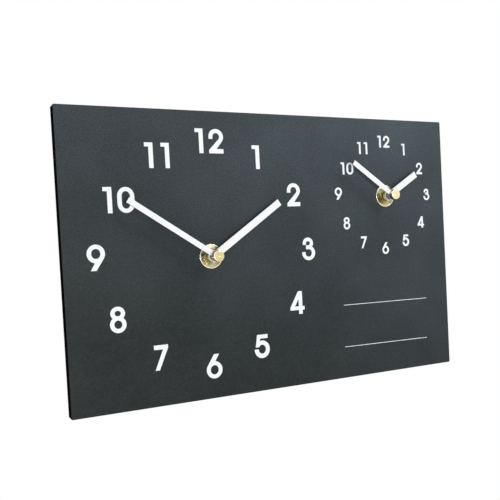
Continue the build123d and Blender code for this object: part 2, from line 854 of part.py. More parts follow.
with BuildPart() as coil_core:
    with BuildSketch(facing(stator_front)):
        with Locations(((stator_left + stator_right) / 2, core_level)):
            Rectangle(stator_right - stator_left, core_width)
        with Locations(*stator_pins):
            Circle(post_pin_radius + pivot_fit, mode=Mode.SUBTRACT)
    extrude(amount=core_thickness)
write_for_each_dial(coil_core, "coil_core")

# Coil: a wound bobbin between the legs, with a flat bore for the core
coil_left = stator_left + stator_leg_width + coil_gap
coil_right = stator_right - stator_leg_width - coil_gap
with BuildPart() as coil:
    with BuildSketch(Plane.YZ.offset(coil_left)):
        with Locations((coil_depth, core_level)):
            Circle(coil_radius)
    extrude(amount=coil_right - coil_left)
    for start in (coil_left, coil_right - coil_flange_thickness):
        with BuildSketch(Plane.YZ.offset(start)):
            with Locations((coil_depth, core_level)):
                Circle(coil_flange_radius)
        extrude(amount=coil_flange_thickness)
    with BuildSketch(Plane.YZ.offset(coil_left)):
        with Locations((coil_depth, core_level)):
            Rectangle(core_thickness + 2 * core_fit, core_width + 2 * core_fit)
    extrude(amount=coil_right - coil_left, mode=Mode.SUBTRACT)
write_for_each_dial(coil, "coil")

# Rotor: magnet and pinion on one arbor
with BuildPart() as rotor:
    add_disc(magnet_front, magnet_back, rotor_place, magnet_radius)
    add_gear(
        fifth_wheel_front - pinion_overlap,
        fifth_wheel_back + pinion_overlap,
        rotor_place,
        train_pinion_teeth,
        rotor_module,
        rotor_pinion_phase,
        pinion_form,
    )
    add_pivots(plate_back + end_play, magnet_back, rotor_place)
write_for_each_dial(rotor, "rotor")

# Fifth wheel, between the rotor and the seconds wheel
with BuildPart() as fifth_wheel:
    add_gear(
        fifth_wheel_front,
        fifth_wheel_back,
        fifth_place,
        fifth_teeth,
        rotor_module,
        fifth_phase,
        wheel_form,
    )
    add_gear(
        fourth_wheel_front - pinion_overlap,
        fifth_wheel_front,
        fifth_place,
        train_pinion_teeth,
        fourth_module,
        fifth_pinion_phase,
        pinion_form,
    )
    add_pivots(plate_back + end_play, boss_front - end_play, fifth_place)
write_for_each_dial(fifth_wheel, "fifth_wheel")

# Fourth wheel, once a minute, with a spindle inside the hollow minute arbor
with BuildPart() as fourth_wheel:
    add_gear(
        fourth_wheel_front,
        fourth_wheel_back,
        shaft,
        fourth_teeth,
        fourth_module,
        fourth_phase,
        wheel_form,
    )
    add_gear(
        third_wheel_front - pinion_overlap,
        fourth_wheel_front,
        shaft,
        train_pinion_teeth,
        third_module,
        fourth_pinion_phase,
        pinion_form,
    )
    add_disc(fourth_wheel_back, boss_front - end_play, shaft, arbor_radius)
    add_disc(boss_front - end_play, boss_front + pivot_length, shaft, pivot_radius)
    add_disc(
        third_wheel_front - pinion_overlap - spindle_length,
        third_wheel_front - pinion_overlap,
        shaft,
        arbor_radius,
    )
write_for_each_dial(fourth_wheel, "fourth_wheel")

with BuildPart() as third_wheel:
    add_gear(
        third_wheel_front,
        third_wheel_back,
        third_place,
        third_teeth,
        third_module,
        third_phase,
        wheel_form,
    )
    add_gear(
        centre_wheel_front - pinion_overlap,
        third_wheel_front,
        third_place,
        train_pinion_teeth,
        centre_module,
        third_pinion_phase,
        pinion_form,
    )
    add_pivots(plate_back + end_play, boss_front - end_play, third_place)
write_for_each_dial(third_wheel, "third_wheel")

# Centre wheel, once an hour; it slips on the minute arbor when the hands are set
with BuildPart() as centre_wheel:
    add_gear(
        centre_wheel_front,
        centre_wheel_back,
        shaft,
        centre_teeth,
        centre_module,
        centre_phase,
        wheel_form,
    )
    add_disc(centre_wheel_front - hub_proud, centre_wheel_back, shaft, centre_hub_radius)
    add_disc(
        centre_wheel_front - hub_proud,
        centre_wheel_back,
        shaft,
        minute_stub_radius + running_fit,
        Mode.SUBTRACT,
    )
write_for_each_dial(centre_wheel, "centre_wheel")

# Minute arbor: hollow behind for the seconds spindle, with the cannon pinion
minute_thread_front = minute_blade_front - cap_thread_depth + end_play
with BuildPart() as minute_arbor:
    add_disc(minute_thread_front, minute_blade_back, shaft, minute_thread_radius)
    add_disc(minute_blade_back, plate_back, shaft, minute_arbor_radius)
    add_disc(plate_back, centre_wheel_back + end_play, shaft, minute_stub_radius)
    add_gear(
        minute_wheel_front,
        minute_wheel_back,
        shaft,
        cannon_teeth,
        motion_module,
        cannon_phase,
        pinion_form,
    )
    add_disc(
        third_wheel_front - pinion_overlap - spindle_length - end_play,
        centre_wheel_back + end_play,
        shaft,
        arbor_radius + running_fit,
        Mode.SUBTRACT,
    )
write_for_each_dial(minute_arbor, "minute_arbor")

with BuildPart() as minute_wheel:
    add_gear(
        minute_wheel_front,
        minute_wheel_back,
        minute_place,
        minute_teeth,
        motion_module,
        minute_phase,
        wheel_form,
    )
    add_gear(
        hour_wheel_front - pinion_overlap,
        minute_wheel_front,
        minute_place,
        minute_pinion_teeth,
        motion_module,
        minute_pinion_phase,
        pinion_form,
    )
    add_pivots(cover_back + end_play, plate_front - end_play, minute_place)
write_for_each_dial(minute_wheel, "minute_wheel")

# Hour wheel with the long pipe that carries the hour hand
hour_pipe_front = hour_blade_front - hour_pipe_proud
with BuildPart() as hour_wheel:
    add_gear(
        hour_wheel_front,
        hour_wheel_back,
        shaft,
        hour_teeth,
        motion_module,
        hour_phase,
        wheel_form,
    )
    add_disc(cover_back + end_play, hour_wheel_front, shaft, hour_hub_radius)
    add_disc(hour_pipe_front, hour_wheel_back, shaft, hour_pipe_radius)
    hour_bore = minute_arbor_radius + running_fit
    add_disc(hour_pipe_front, hour_wheel_back, shaft, hour_bore, Mode.SUBTRACT)
write_for_each_dial(hour_wheel, "hour_wheel")

# Setting knob: a notched disc in its well, on a stem with a pinion
knob_back = case_back - knob_recess
knob_front = knob_back - knob_height
with BuildPart() as setting_knob:
    with BuildSketch(facing(knob_back, stem_place)):
        Circle(knob_radius)
        with PolarLocations(knob_radius, knob_notches):
            Circle(knob_notch_radius, mode=Mode.SUBTRACT)
    extrude(amount=knob_height)
    with BuildSketch(facing(knob_back, stem_place)):
        Circle(knob_dish_radius)
        Rectangle(2 * knob_dish_radius, knob_grip_width, mode=Mode.SUBTRACT)
    extrude(amount=knob_grip_depth, mode=Mode.SUBTRACT)
    add_disc(minute_wheel_back, knob_front, stem_place, stem_radius)
    add_gear(
        minute_wheel_front,
        minute_wheel_back,
        stem_place,
        stem_teeth,
        motion_module,
        stem_phase,
        pinion_form,
    )
    add_disc(cover_back + end_play, minute_wheel_front, stem_place, arbor_radius)
    add_disc(cover_back + end_play - pivot_length, cover_back + end_play, stem_place, pivot_radius)
write_for_each_dial(setting_knob, "setting_knob")


def make_blade(length, width, boss_radius, hole_radius, angle, back):
    """One flat hand: a straight bar with a square end and a round boss."""
    with BuildPart() as blade:
        with BuildSketch(facing(back)):
            Rectangle(length, width, rotation=90 - angle, align=(Align.MIN, Align.CENTER))
            Circle(boss_radius)
            Circle(hole_radius, mode=Mode.SUBTRACT)
        extrude(amount=blade_thickness)
    return blade


# Hands of each dial, with the collets pressed on behind them
for dial in dials:
    hour_blade = make_blade(
        dial.hour_length,
        hour_blade_width,
        hour_boss_radius,
        hour_pipe_radius + hand_shoulder_fit,
        dial.hour_angle,
        hour_blade_back,
    )
    minute_blade = make_blade(
        dial.minute_length,
        minute_blade_width,
        minute_boss_radius,
        minute_thread_radius + hand_shoulder_fit,
        dial.minute_angle,
        minute_blade_back,
    )
    write_on_dial(hour_blade, dial, "hour_hand")
    write_on_dial(minute_blade, dial, "minute_hand")

with BuildPart() as hour_collet:
    add_disc(hour_blade_back, hour_blade_back + hour_collet_length, shaft, hour_collet_radius)
    hour_collet_bore = hour_pipe_radius + hand_shoulder_fit
    add_disc(
        hour_blade_back,
        hour_blade_back + hour_collet_length,
        shaft,
        hour_collet_bore,
        Mode.SUBTRACT,
    )
write_for_each_dial(hour_collet, "hour_collet")

with BuildPart() as minute_collet:
    add_disc(
        minute_blade_back, minute_blade_back + minute_collet_length, shaft, minute_collet_radius
    )
    minute_collet_bore = minute_arbor_radius + hand_shoulder_fit
    add_disc(
        minute_blade_back,
        minute_blade_back + minute_collet_length,
        shaft,
        minute_collet_bore,
        Mode.SUBTRACT,
    )
write_for_each_dial(minute_collet, "minute_collet")

# Blind brass cap nut that holds the minute hand
cap_front = minute_blade_front - cap_length
with BuildPart() as hand_cap:
    add_disc(cap_front, minute_blade_front, shaft, cap_radius)
    fillet(hand_cap.faces().sort_by(Axis.Y)[0].edges(), radius=cap_edge_radius)
    add_disc(
        minute_blade_front - cap_thread_depth,
        minute_blade_front,
        shaft,
        minute_thread_radius + thread_fit,
        Mode.SUBTRACT,
    )
    with BuildSketch(facing(cap_front)):
        Circle(cap_dimple_radius)
    extrude(amount=-cap_dimple_depth, taper=cap_dimple_taper, mode=Mode.SUBTRACT)
write_for_each_dial(hand_cap, "hand_cap")
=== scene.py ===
import math

import bmesh
import bpy
from mathutils import Matrix, Vector


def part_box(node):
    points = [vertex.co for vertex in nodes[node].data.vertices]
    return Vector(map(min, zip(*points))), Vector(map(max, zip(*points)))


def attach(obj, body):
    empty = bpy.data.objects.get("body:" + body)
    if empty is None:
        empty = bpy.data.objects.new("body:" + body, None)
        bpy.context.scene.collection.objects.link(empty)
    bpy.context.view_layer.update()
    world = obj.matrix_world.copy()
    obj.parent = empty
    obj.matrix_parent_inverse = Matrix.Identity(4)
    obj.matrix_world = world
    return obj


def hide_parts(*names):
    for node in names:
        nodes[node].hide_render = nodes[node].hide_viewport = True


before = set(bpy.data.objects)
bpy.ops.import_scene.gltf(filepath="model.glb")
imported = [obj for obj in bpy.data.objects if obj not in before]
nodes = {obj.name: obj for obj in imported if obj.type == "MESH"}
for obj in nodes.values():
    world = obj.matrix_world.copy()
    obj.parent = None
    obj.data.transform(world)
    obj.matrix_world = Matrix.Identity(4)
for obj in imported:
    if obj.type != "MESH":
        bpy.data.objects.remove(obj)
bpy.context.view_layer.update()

mm = 0.001
dialNames = ("main", "second")
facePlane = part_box("face_board")[0][1]


def middleOf(node):
    low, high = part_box(node)
    return Vector((a + b) / 2 for a, b in zip(low, high))


shafts = {dial: middleOf(dial + "_bush") for dial in dialNames}
print("frame loaded:", len(nodes), "CAD pieces")


# node helpers

def addNode(tree, kind, settings=None, inputs=None):
    node = tree.nodes.new(kind)
    for name, value in (settings or {}).items():
        setattr(node, name, value)
    for name, value in (inputs or {}).items():
        if isinstance(value, bpy.types.NodeSocket):
            tree.links.new(value, node.inputs[name])
        else:
            node.inputs[name].default_value = value
    return node


def calculate(tree, operation, first, second=0.0):
    inputs = {0: first, 1: second}
    return addNode(tree, "ShaderNodeMath", {"operation": operation}, inputs).outputs[0]


def vectorMath(tree, operation, first, second=(0, 0, 0)):
    inputs = {0: first, 1: second}
    return addNode(tree, "ShaderNodeVectorMath", {"operation": operation}, inputs).outputs


def blendColour(tree, factor, first, second, mode="MIX"):
    settings = {"data_type": "RGBA", "blend_type": mode}
    return addNode(tree, "ShaderNodeMix", settings, {0: factor, 6: first, 7: second}).outputs[2]


def fitRange(tree, value, low, high, start=0.0, end=1.0):
    inputs = {"Value": value, "From Min": low, "From Max": high, "To Min": start, "To Max": end}
    return addNode(tree, "ShaderNodeMapRange", None, inputs).outputs["Result"]


def newGroup(name, inputs, outputs):
    tree = bpy.data.node_groups.new(name, "ShaderNodeTree")
    for label, kind in inputs.items():
        tree.interface.new_socket(label, in_out="INPUT", socket_type="NodeSocket" + kind)
    for label, kind in outputs.items():
        tree.interface.new_socket(label, in_out="OUTPUT", socket_type="NodeSocket" + kind)
    return tree, tree.nodes.new("NodeGroupInput").outputs, tree.nodes.new("NodeGroupOutput").inputs


def useGroup(tree, group, inputs):
    return addNode(tree, "ShaderNodeGroup", {"node_tree": group}, inputs).outputs


# uneven tone: broad patches and a fine speckle between two colours
toneMix = {"speckScale": 19.0, "patchShare": 0.65, "speckShare": 0.35}
unevenTone, given, result = newGroup(
    "uneven tone",
    {"Vector": "Vector", "Scale": "Float", "Spread": "Float", "Dark": "Color", "Light": "Color"},
    {"Color": "Color", "Value": "Float"},
)
patches = addNode(unevenTone, "ShaderNodeTexNoise", None, {
    "Vector": given["Vector"], "Scale": given["Scale"], "Detail": 5.0, "Roughness": 0.6})
speckScale = calculate(unevenTone, "MULTIPLY", given["Scale"], toneMix["speckScale"])
specks = addNode(unevenTone, "ShaderNodeTexNoise", None, {
    "Vector": given["Vector"], "Scale": speckScale, "Detail": 2.0, "Roughness": 0.5})
patchShare = calculate(unevenTone, "MULTIPLY", patches.outputs[0], toneMix["patchShare"])
speckShare = calculate(unevenTone, "MULTIPLY", specks.outputs[0], toneMix["speckShare"])
both = calculate(unevenTone, "ADD", patchShare, speckShare)
halfSpread = calculate(unevenTone, "MULTIPLY", given["Spread"], 0.5)
spreadLow = calculate(unevenTone, "SUBTRACT", 0.5, halfSpread)
spreadHigh = calculate(unevenTone, "ADD", 0.5, halfSpread)
toneValue = fitRange(unevenTone, both, spreadLow, spreadHigh)
toneColour = blendColour(unevenTone, toneValue, given["Dark"], given["Light"])
unevenTone.links.new(toneValue, result["Value"])
unevenTone.links.new(toneColour, result["Color"])

# grain: an even, shallow roughness of moulded, painted and sanded faces
surfaceGrain, given, result = newGroup(
    "surface grain",
    {"Vector": "Vector", "Scale": "Float", "Depth": "Float"},
    {"Normal": "Vector", "Value": "Float"},
)
grainNoise = addNode(surfaceGrain, "ShaderNodeTexNoise", None, {
    "Vector": given["Vector"], "Scale": given["Scale"], "Detail": 3.0, "Roughness": 0.55})
grainBump = addNode(surfaceGrain, "ShaderNodeBump", None, {
    "Strength": 1.0, "Distance": given["Depth"], "Height": grainNoise.outputs[0]})
surfaceGrain.links.new(grainNoise.outputs[0], result["Value"])
surfaceGrain.links.new(grainBump.outputs[0], result["Normal"])

# turning marks: rings round a shaft on end faces, fine bands along its sides
turningMarks, given, result = newGroup(
    "turning marks",
    {"Vector": "Vector", "Scale": "Float", "Depth": "Float"},
    {"Normal": "Vector", "Value": "Float"},
)
rings = addNode(
    turningMarks, "ShaderNodeTexWave",
    {"wave_type": "RINGS", "rings_direction": "Y"},
    {"Vector": given["Vector"], "Scale": given["Scale"], "Distortion": 0.6, "Detail": 2.0,
     "Detail Scale": 3.0})
bands = addNode(
    turningMarks, "ShaderNodeTexWave",
    {"wave_type": "BANDS", "bands_direction": "Y"},
    {"Vector": given["Vector"], "Scale": given["Scale"], "Distortion": 0.4, "Detail": 2.0,
     "Detail Scale": 2.0})
bothCuts = calculate(turningMarks, "ADD", rings.outputs["Fac"], bands.outputs["Fac"])
cuts = calculate(turningMarks, "MULTIPLY", bothCuts, 0.5)
cutBump = addNode(turningMarks, "ShaderNodeBump", None, {
    "Strength": 1.0, "Distance": given["Depth"], "Height": cuts})
turningMarks.links.new(cuts, result["Value"])
turningMarks.links.new(cutBump.outputs[0], result["Normal"])


# materials

def newMaterial(name):
    material = bpy.data.materials.new(name)
    material.use_nodes = True
    tree = material.node_tree
    coordinates = addNode(tree, "ShaderNodeTexCoord").outputs["Object"]
    return material, tree, tree.nodes["Principled BSDF"], coordinates


def moved(tree, coordinates, centre=(0, 0, 0), stretch=(1, 1, 1)):
    # brings a pattern's middle to a place and stretches it
    location = [-a * b for a, b in zip(centre, stretch)]
    inputs = {"Vector": coordinates, "Location": location, "Scale": stretch}
    return addNode(tree, "ShaderNodeMapping", None, inputs).outputs[0]


def nearPlace(tree, measure, place, soft):
    # a mask that goes from nought to one within a soft edge on both sides of a place
    return fitRange(tree, measure, (place - soft) * mm, (place + soft) * mm)


# masks of the painted shadow, highlights, reflection and shade; the first three are in millimetres
paintedLight = {
    "paintedShadowFade": 1.0,
    "rimSoft": 0.1,
    "sideSoft": 0.2,
    "lowerPaintedHighlight": (-0.7, -1.0, 0.0, 0.25),  # the painted highlight below the shaft is weaker
    "paintedHighlightPatches": 0.65,  # least strength of the painted highlight in its darker patches
    "sideEnd": 0.5,
}


def rubbedColour(tree, look, place, colour):
    # painted shadow of the hand cap: lilac grey on the paint round the shaft
    reach = vectorMath(tree, "LENGTH", vectorMath(tree, "MULTIPLY", place, (1, 0, 1))[0])["Value"]
    paintedShadowMask = fitRange(tree, reach, look["paintedShadowTo"] * mm, (look["paintedShadowTo"] + paintedLight["paintedShadowFade"]) * mm, 1.0, 0.0)
    return blendColour(tree, paintedShadowMask, colour, (*look["paintedShadow"], 1))


def glowingColour(tree, look, outward, tone, colour):
    # painted highlights above and below the shaft of a turned face, and painted shade at its sides
    aim = vectorMath(tree, "NORMALIZE", outward)[0]
    upward = vectorMath(tree, "DOT_PRODUCT", aim, look["paintedHighlightAxis"])["Value"]
    upper = fitRange(tree, upward, *look["paintedHighlightAbove"])
    lobes = calculate(tree, "ADD", upper, fitRange(tree, upward, *paintedLight["lowerPaintedHighlight"]))
    patchy = calculate(tree, "MULTIPLY", lobes, fitRange(tree, tone, 0, 1, paintedLight["paintedHighlightPatches"], 1))
    upOrDown = calculate(tree, "ABSOLUTE", upward)
    sides = fitRange(tree, upOrDown, 0.0, paintedLight["sideEnd"], look["sideShade"], 1.0)
    shaded = blendColour(tree, 1.0, colour, sides, "MULTIPLY")
    return blendColour(tree, patchy, shaded, (*look["paintedHighlight"], 1))


def rimmedColour(tree, look, place, tone, colour):
    # a painted highlight along the rim, and, where the look has them, the painted highlights of the face
    # inside it
    outward = vectorMath(tree, "MULTIPLY", place, (1, 0, 1))[0]
    reach = vectorMath(tree, "LENGTH", outward)["Value"]
    rimMask = nearPlace(tree, reach, look["rimFrom"], paintedLight["rimSoft"])
    if "paintedHighlight" in look:
        colour = glowingColour(tree, look, outward, tone, colour)
    return blendColour(tree, rimMask, colour, (*look["rim"], 1))


def sidedColour(tree, look, coordinates, colour):
    # painted reflection: the side behind the front edge is darker, as if it mirrored the dark board
    along = addNode(tree, "ShaderNodeSeparateXYZ", None, {0: coordinates}).outputs[1]
    paintedReflectionMask = nearPlace(tree, along, look["sideFrom"], paintedLight["sideSoft"])
    return blendColour(tree, paintedReflectionMask, colour, (*look["side"], 1))


waveRepeat = 0.314  # distance after which a wave of scale one repeats
glossChange = 0.03  # how much the grain changes the roughness, up and down


def makeFinish(name, look, centre=(0, 0, 0)):
    material, tree, shader, coordinates = newMaterial(name)
    place = moved(tree, coordinates, centre, look.get("stretch", (1, 1, 1)))
    tone = useGroup(tree, unevenTone, {
        "Vector": place, "Scale": 1 / (look["patch"] * mm), "Spread": look["spread"],
        "Dark": (*look["dark"], 1), "Light": (*look["light"], 1)})
    group = turningMarks if look.get("turned") else surfaceGrain
    grainScale = (waveRepeat if look.get("turned") else 1.0) / (look["grain"] * mm)
    marks = useGroup(tree, group, {"Vector": place, "Scale": grainScale, "Depth": look["depth"] * mm})
    toneShift = fitRange(tree, tone["Value"], 0, 1, *look["rough"])
    grainShift = fitRange(tree, marks["Value"], 0, 1, -glossChange, glossChange)
    colour = tone["Color"]
    if "paintedShadow" in look:
        colour = rubbedColour(tree, look, place, colour)
    if "rim" in look:
        colour = rimmedColour(tree, look, place, tone["Value"], colour)
    if "side" in look:
        colour = sidedColour(tree, look, coordinates, colour)
    tree.links.new(colour, shader.inputs["Base Color"])
    tree.links.new(calculate(tree, "ADD", toneShift, grainShift), shader.inputs["Roughness"])
    tree.links.new(marks["Normal"], shader.inputs["Normal"])
    shader.inputs["Metallic"].default_value = look.get("metal", 0.0)
    shader.inputs["Specular IOR Level"].default_value = look.get("shine", 0.5)
    shader.inputs["Coat Weight"].default_value = look.get("coat", 0.0)
    return material


def dress(nodeName, material):
    piece = nodes[nodeName]
    if not piece.material_slots:
        piece.data.materials.append(material)
    for slot in piece.material_slots:
        slot.material = material


# board: dark slate-coloured composite with a faint sheen on its face, nearly
# black on its sawn edges
board = {
    "dark": (0.0135, 0.0165, 0.0160),
    "light": (0.0270, 0.0310, 0.0305),
    "edge": (0.005, 0.005, 0.004),
    "back": (0.018, 0.019, 0.019),
    # chalk haze and painted sheen share this pale bluish colour
    "dustAndSheen": (0.098, 0.120, 0.137),
    "dustAndSheenShare": 0.74,
    "paintedSheenWay": (0.42, 0, 1.0),  # painted sheen: the face grows paler and bluer this way, as under the key lamp's sheen
    "paintedSheenFrom": -0.20,
    "paintedSheenTo": 0.09,
    "cloudScale": 14.0,
    "cloudShare": (0.25, 0.75, 0.45, 1.0),
    "fleck": 0.62,
    "fleckRange": (0.2, 0.8),
    "patch": 60,
    "spread": 0.34,
    "grain": 0.9,
    "depth": 0.04,
    "sheen": 0.22,
    "sheenRoughness": 0.40,
    "roughness": 0.9,
    "shine": 0.0,
    "edgeBand": (0.02, 0.4),  # behind the face, in millimetres
    "backBand": (-0.3, -0.05),  # before the back face
    "layerScale": 160.0,
    "layerStretch": (1, 14, 1),
    "layerTone": (0.3, 0.7, 0.6, 1.5),
}
boardMaterial, tree, shader, coordinates = newMaterial("slate board")
tone = useGroup(tree, unevenTone, {
    "Vector": coordinates, "Scale": 1 / (board["patch"] * mm), "Spread": board["spread"],
    "Dark": (*board["dark"], 1), "Light": (*board["light"], 1)})
grain = useGroup(tree, surfaceGrain, {
    "Vector": coordinates, "Scale": 1 / (board["grain"] * mm), "Depth": board["depth"] * mm})
# pale chalk haze in broad clouds, with a painted sheen that grows towards the top and a little to the
# right
clouds = addNode(tree, "ShaderNodeTexNoise", None, {
    "Vector": coordinates, "Scale": board["cloudScale"], "Detail": 7.0, "Roughness": 0.62})
sheenSlant = vectorMath(tree, "DOT_PRODUCT", coordinates, board["paintedSheenWay"])["Value"]
cloudShare = fitRange(tree, clouds.outputs[0], *board["cloudShare"])
paintedSheenShare = fitRange(tree, sheenSlant, board["paintedSheenFrom"], board["paintedSheenTo"], 0.0, board["dustAndSheenShare"])
dustAndSheenMask = calculate(tree, "MULTIPLY", cloudShare, paintedSheenShare)
dustAndSheenColour = blendColour(tree, dustAndSheenMask, tone["Color"], (*board["dustAndSheen"], 1))
flecks = fitRange(tree, grain["Value"], *board["fleckRange"], 1 - board["fleck"], 1 + board["fleck"])
faceColour = blendColour(tree, 1.0, dustAndSheenColour, flecks, "MULTIPLY")
depthOnly = addNode(tree, "ShaderNodeSeparateXYZ", None, {0: coordinates}).outputs[1]
edgeMask = fitRange(tree, depthOnly, *(facePlane + depth * mm for depth in board["edgeBand"]))
backMask = fitRange(tree, depthOnly, *(depth * mm for depth in board["backBand"]))
# the sawn edge shows the board's pressed layers
layers = addNode(tree, "ShaderNodeTexNoise", None, {
    "Vector": moved(tree, coordinates, stretch=board["layerStretch"]),
    "Scale": board["layerScale"], "Detail": 3.0})
layerTone = fitRange(tree, layers.outputs[0], *board["layerTone"])
edgeColour = blendColour(tree, 1.0, (*board["edge"], 1), layerTone, "MULTIPLY")
sideColour = blendColour(tree, edgeMask, faceColour, edgeColour)
boardColour = blendColour(tree, backMask, sideColour, (*board["back"], 1))
lostSheen = calculate(tree, "MULTIPLY", edgeMask, board["sheen"])
tree.links.new(boardColour, shader.inputs["Base Color"])
tree.links.new(calculate(tree, "SUBTRACT", board["sheen"], lostSheen), shader.inputs["Coat Weight"])
tree.links.new(grain["Normal"], shader.inputs["Normal"])
shader.inputs["Coat Roughness"].default_value = board["sheenRoughness"]
shader.inputs["Roughness"].default_value = board["roughness"]
shader.inputs["Specular IOR Level"].default_value = board["shine"]
dress("face_board", boardMaterial)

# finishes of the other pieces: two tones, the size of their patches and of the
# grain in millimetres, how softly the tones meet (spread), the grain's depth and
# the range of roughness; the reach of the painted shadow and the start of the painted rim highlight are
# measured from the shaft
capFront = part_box("main_hand_cap")[0][1] / mm
ink = dict(dark=(0.87, 0.87, 0.86), light=(0.91, 0.905, 0.895), patch=9, spread=0.5,
           rough=(0.5, 0.6), grain=0.5, depth=0.006, shine=0.3)
handPaint = dict(dark=(0.86, 0.85, 0.84), light=(0.91, 0.90, 0.885), patch=7, spread=0.6,
                 rough=(0.36, 0.46), grain=0.8, depth=0.010, shine=0.3)
# painted shadow of the cap, round the main minute hand's shaft
handPaintWithShadow = dict(handPaint, paintedShadow=(0.44, 0.41, 0.48), paintedShadowTo=4.4)
brass = dict(dark=(0.15, 0.125, 0.040), light=(0.66, 0.58, 0.30), patch=4.0, spread=0.42,
             rough=(0.20, 0.32), grain=0.6, depth=0.005, metal=1.0, turned=True)
# painted light on the washers: a painted highlight along the rim, painted highlights above and below the
# shaft and painted shade at the sides
washerBrass = dict(brass, rim=(0.95, 0.92, 0.68), rimFrom=7.9, paintedHighlight=(0.98, 0.95, 0.80),
                   paintedHighlightAxis=(0.10, 0, 0.99), paintedHighlightAbove=(0.45, 0.95), sideShade=0.5)
# the second washer as a paler lit copy of the washer brass: painted highlight all over, its shine turned
# another way
paintedHighlightWasher = dict(washerBrass, dark=(0.20, 0.14, 0.035), light=(0.74, 0.64, 0.28),
                    rim=(0.98, 0.96, 0.76), paintedHighlight=(1.0, 0.98, 0.88), paintedHighlightAxis=(-0.5, 0, 0.87),
                    paintedHighlightAbove=(0.30, 0.80))
# the cap's brass as a paler lit copy of the other brass: painted highlight all over, a painted highlight
# along its rim and a painted reflection of the dark board on its side
capBrass = dict(dark=(0.58, 0.46, 0.21), light=(0.86, 0.74, 0.45), patch=3.0, spread=0.6,
                rough=(0.20, 0.30), grain=0.6, depth=0.005, metal=1.0, turned=True,
                rim=(0.93, 0.87, 0.60), rimFrom=3.4, side=(0.26, 0.19, 0.11),
                sideFrom=capFront + 0.9)
# the second cap as a still paler lit copy: painted highlight
paintedHighlightCap = dict(capBrass, dark=(0.80, 0.69, 0.40), light=(0.98, 0.92, 0.64),
                 rim=(0.98, 0.94, 0.70), side=(0.56, 0.52, 0.46))
aluminium = dict(dark=(0.34, 0.34, 0.34), light=(0.52, 0.53, 0.54), patch=3, spread=0.6,
                 rough=(0.42, 0.54), grain=0.3, depth=0.008, metal=1.0, turned=True)
steel = dict(dark=(0.42, 0.43, 0.44), light=(0.60, 0.61, 0.62), patch=2.5, spread=0.6,
             rough=(0.24, 0.36), grain=0.25, depth=0.005, metal=1.0, turned=True)
springSteel = dict(dark=(0.52, 0.51, 0.48), light=(0.70, 0.69, 0.66), patch=6, spread=0.6,
                   rough=(0.20, 0.34), grain=0.4, depth=0.006, metal=1.0, stretch=(1, 1, 8))
zinc = dict(dark=(0.36, 0.38, 0.41), light=(0.60, 0.61, 0.63), patch=6, spread=0.40,
            rough=(0.28, 0.44), grain=0.6, depth=0.012, metal=1.0)
screwSteel = dict(dark=(0.22, 0.22, 0.21), light=(0.40, 0.39, 0.36), patch=1.5, spread=0.6,
                  rough=(0.22, 0.34), grain=0.2, depth=0.006, metal=1.0)
housing = dict(dark=(0.009, 0.009, 0.010), light=(0.016, 0.016, 0.017), patch=14, spread=0.6,
               rough=(0.36, 0.46), grain=0.28, depth=0.022)
knobPlastic = dict(dark=(0.27, 0.27, 0.28), light=(0.34, 0.34, 0.35), patch=6, spread=0.6,
                   rough=(0.34, 0.44), grain=0.3, depth=0.015)
platePlastic = dict(dark=(0.66, 0.65, 0.60), light=(0.78, 0.77, 0.72), patch=8, spread=0.6,
                    rough=(0.32, 0.42), grain=0.35, depth=0.012)
gearPlastic = dict(dark=(0.72, 0.71, 0.66), light=(0.84, 0.83, 0.79), patch=4, spread=0.6,
                   rough=(0.28, 0.38), grain=0.3, depth=0.008)
rubber = dict(dark=(0.010, 0.010, 0.010), light=(0.020, 0.020, 0.019), patch=3, spread=0.6,
              rough=(0.60, 0.75), grain=0.3, depth=0.02)
windingCopper = dict(dark=(0.45, 0.15, 0.05), light=(0.72, 0.30, 0.13), patch=1.2, spread=0.7,
                     rough=(0.25, 0.38), grain=0.12, depth=0.03, metal=1.0, stretch=(1, 0.05, 0.05))
motorIron = dict(dark=(0.32, 0.32, 0.33), light=(0.46, 0.46, 0.47), patch=3, spread=0.6,
                 rough=(0.32, 0.46), grain=0.25, depth=0.006, metal=1.0, stretch=(1, 1, 6))
magnet = dict(dark=(0.06, 0.06, 0.065), light=(0.12, 0.12, 0.125), patch=1.5, spread=0.6,
              rough=(0.42, 0.58), grain=0.15, depth=0.01, metal=0.6)
circuitGreen = dict(dark=(0.008, 0.075, 0.026), light=(0.020, 0.16, 0.055), patch=1.6, spread=0.35,
                    rough=(0.22, 0.34), grain=0.5, depth=0.015, coat=0.3)

plainFinishes = {
    "handPaint": (handPaint, ("hour_hand", "minute_hand")),
    "springSteel": (springSteel, ("contact_positive", "contact_negative")),
    "housing": (housing, ("front_cover", "rear_case")),
    "knobPlastic": (knobPlastic, ("setting_knob",)),
    "platePlastic": (platePlastic, ("middle_plate",)),
    "gearPlastic": (gearPlastic, ("fifth_wheel", "fourth_wheel", "third_wheel", "centre_wheel",
                                  "minute_wheel", "hour_wheel")),
    "rubber": (rubber, ("rubber_washer",)),
    "windingCopper": (windingCopper, ("coil",)),
    "motorIron": (motorIron, ("coil_core", "stator")),
    "magnet": (magnet, ("rotor",)),
    "circuitGreen": (circuitGreen, ("circuit_board",)),
}
for name, (look, pieces) in plainFinishes.items():
    material = makeFinish(name, look)
    for dial in dialNames:
        for piece in pieces:
            dress(f"{dial}_{piece}", material)

# turned metal has its rings round its own shaft
turnedFinishes = {
    "brass": (brass, ("fixing_nut", "bush")),
    "washer brass": (washerBrass, ("brass_washer",)),
    "cap brass": (capBrass, ("hand_cap",)),
    "aluminium": (aluminium, ("hour_collet", "minute_collet")),
    "steel": (steel, ("minute_arbor",)),
}
turned = {}
for name, (look, pieces) in turnedFinishes.items():
    for dial in dialNames:
        turned[dial, name] = makeFinish(f"{name} {dial}", look, shafts[dial])
        for piece in pieces:
            dress(f"{dial}_{piece}", turned[dial, name])

